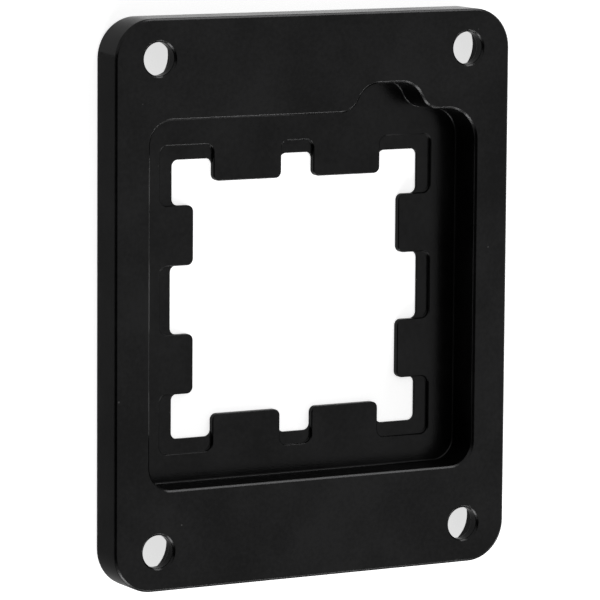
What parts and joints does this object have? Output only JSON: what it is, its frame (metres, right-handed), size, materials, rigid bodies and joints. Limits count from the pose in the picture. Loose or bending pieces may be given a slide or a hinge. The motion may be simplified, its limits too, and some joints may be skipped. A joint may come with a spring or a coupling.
{
  "type": "cpu socket retention frame",
  "caption": "Flat milled aluminium frame that clamps a processor in its socket: deep hollow on the board side, notched window with tabs, and a counterbored screw hole in each corner.",
  "frame": {"origin": "middle of the flat cooler side, on which the frame lies", "axes": "+X across the width, +Y along the length towards the end with the finger relief, +Z out of the hollow board side"},
  "size_m": [0.055, 0.07, 0.0056],
  "materials": {
    "black_anodised_aluminium": "bead blasted and anodised black, satin"
  },
  "bodies": {
    "root": {"retention_frame": "black_anodised_aluminium"}
  },
  "joints": []
}
